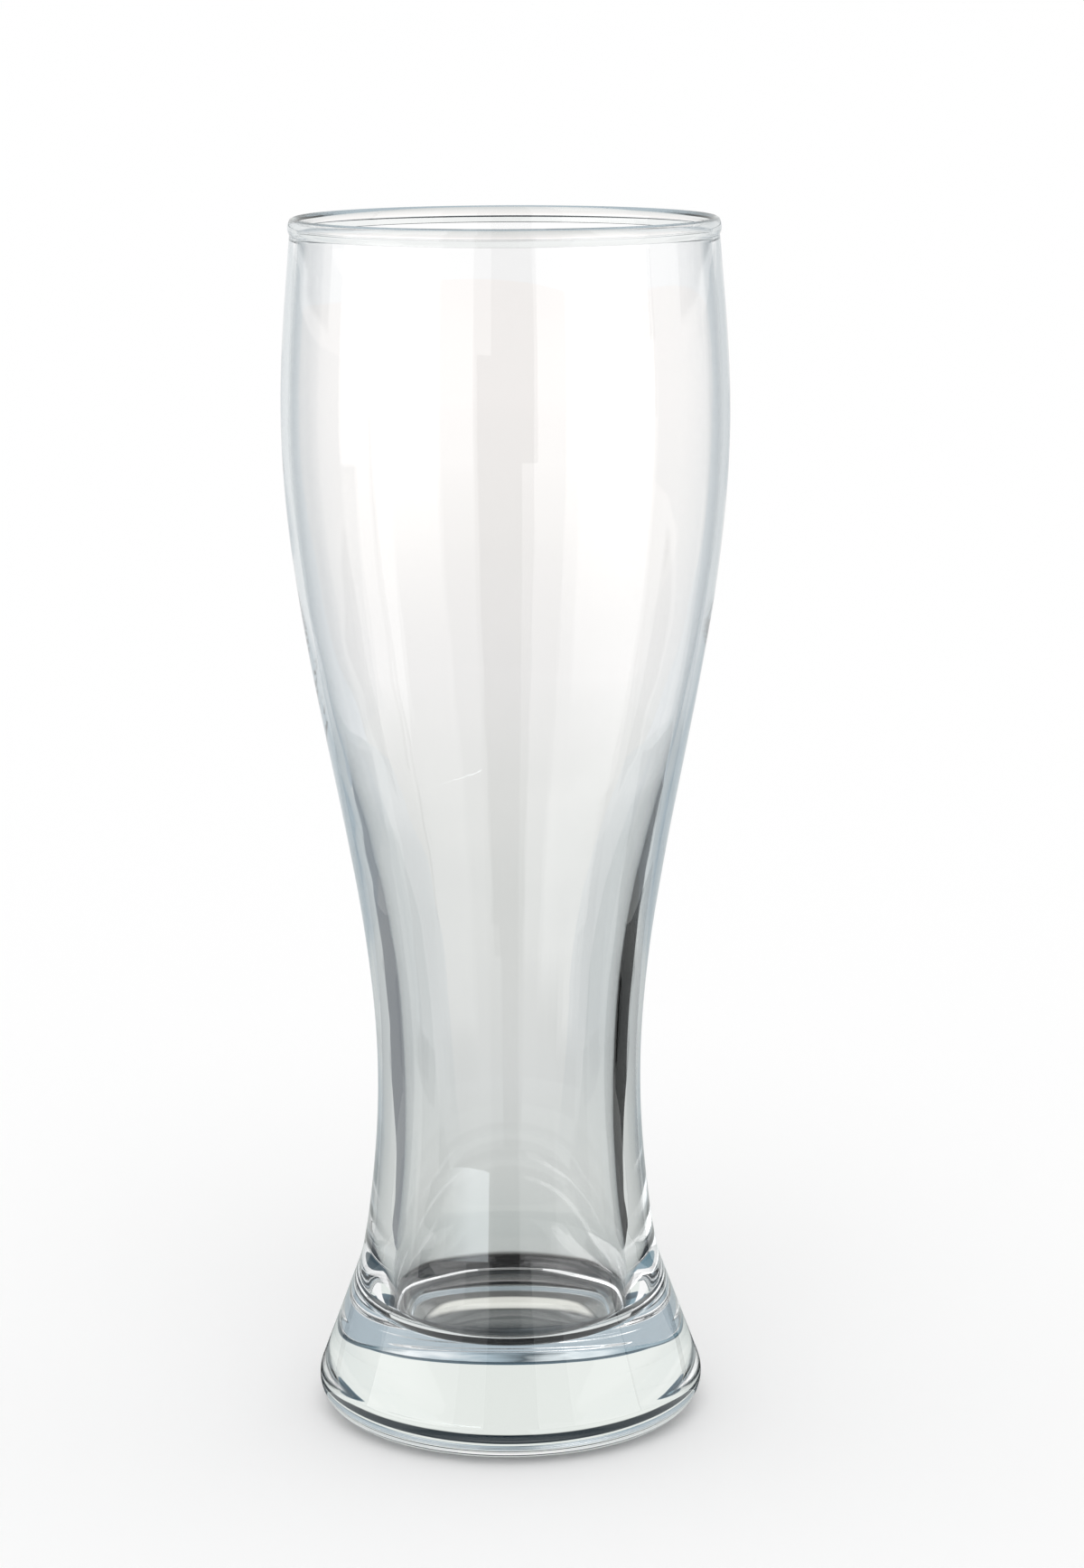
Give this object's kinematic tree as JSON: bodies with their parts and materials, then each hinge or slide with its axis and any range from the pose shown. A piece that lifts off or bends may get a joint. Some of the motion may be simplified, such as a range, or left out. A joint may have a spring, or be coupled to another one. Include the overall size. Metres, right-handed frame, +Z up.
{
  "type": "pilsner glass",
  "caption": "Tall clear pilsner glass with a gently swelling bowl, narrow waist, rounded lip and solid flared foot, for serving beer.",
  "frame": {"origin": "on the turning axis, in the plane of the ring the foot stands on", "axes": "+Z up along the turning axis from the foot to the rim; the glass is round, so +X and +Y are free"},
  "size_m": [0.0858, 0.0858, 0.235],
  "materials": {
    "blown_glass": "clear, fire-polished",
    "pressed_glass": "clear, faintly green where thick"
  },
  "bodies": {
    "root": {"bowl": "blown_glass", "foot": "pressed_glass"}
  },
  "joints": []
}
